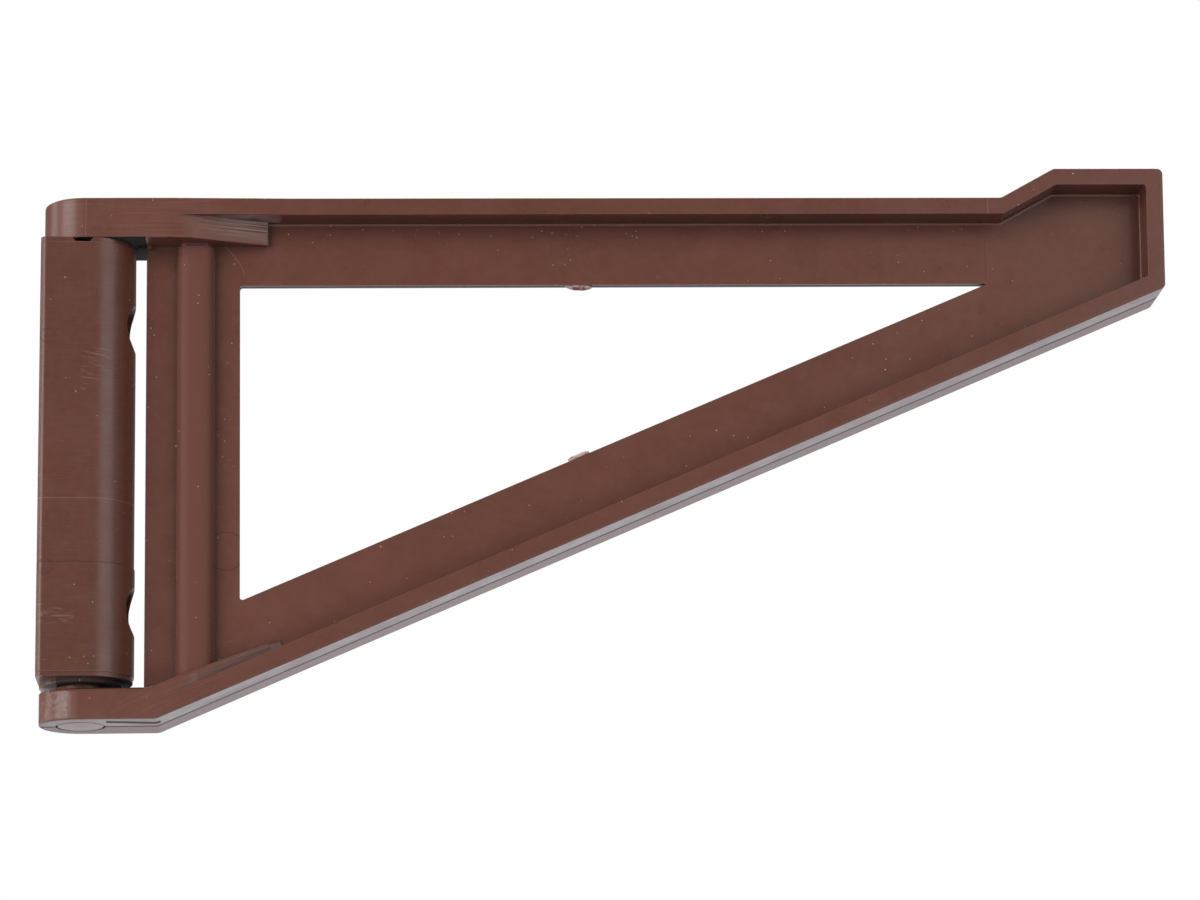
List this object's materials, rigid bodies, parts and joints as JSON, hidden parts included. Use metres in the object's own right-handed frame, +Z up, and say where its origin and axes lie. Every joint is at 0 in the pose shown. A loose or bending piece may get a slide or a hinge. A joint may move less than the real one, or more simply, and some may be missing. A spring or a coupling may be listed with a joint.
{
  "type": "countertop support bracket",
  "caption": "Fold-away bracket that holds up a countertop flap: a moulded triangular arm with a raised nose, swinging on short pins in a wall barrel.",
  "frame": {"origin": "middle of the barrel's flat wall face", "axes": "+X out from the wall along the open arm, +Z up along the hinge axis, Y along the wall"},
  "size_m": [0.2287, 0.019, 0.1129],
  "materials": {
    "brown_plastic": "semi-gloss moulded"
  },
  "bodies": {
    "wall_side": {"wall_barrel": "brown_plastic"},
    "arm_side": {"swing_arm": "brown_plastic", "upper_pin": "brown_plastic", "lower_pin": "brown_plastic"}
  },
  "joints": [
    {"name": "arm_swing", "type": "hinge", "parent": "wall_side", "child": "arm_side", "pos_m": [0.0084, 0, 0], "axis": [0, 0, 1], "range_deg": [-90, 90]}
  ]
}
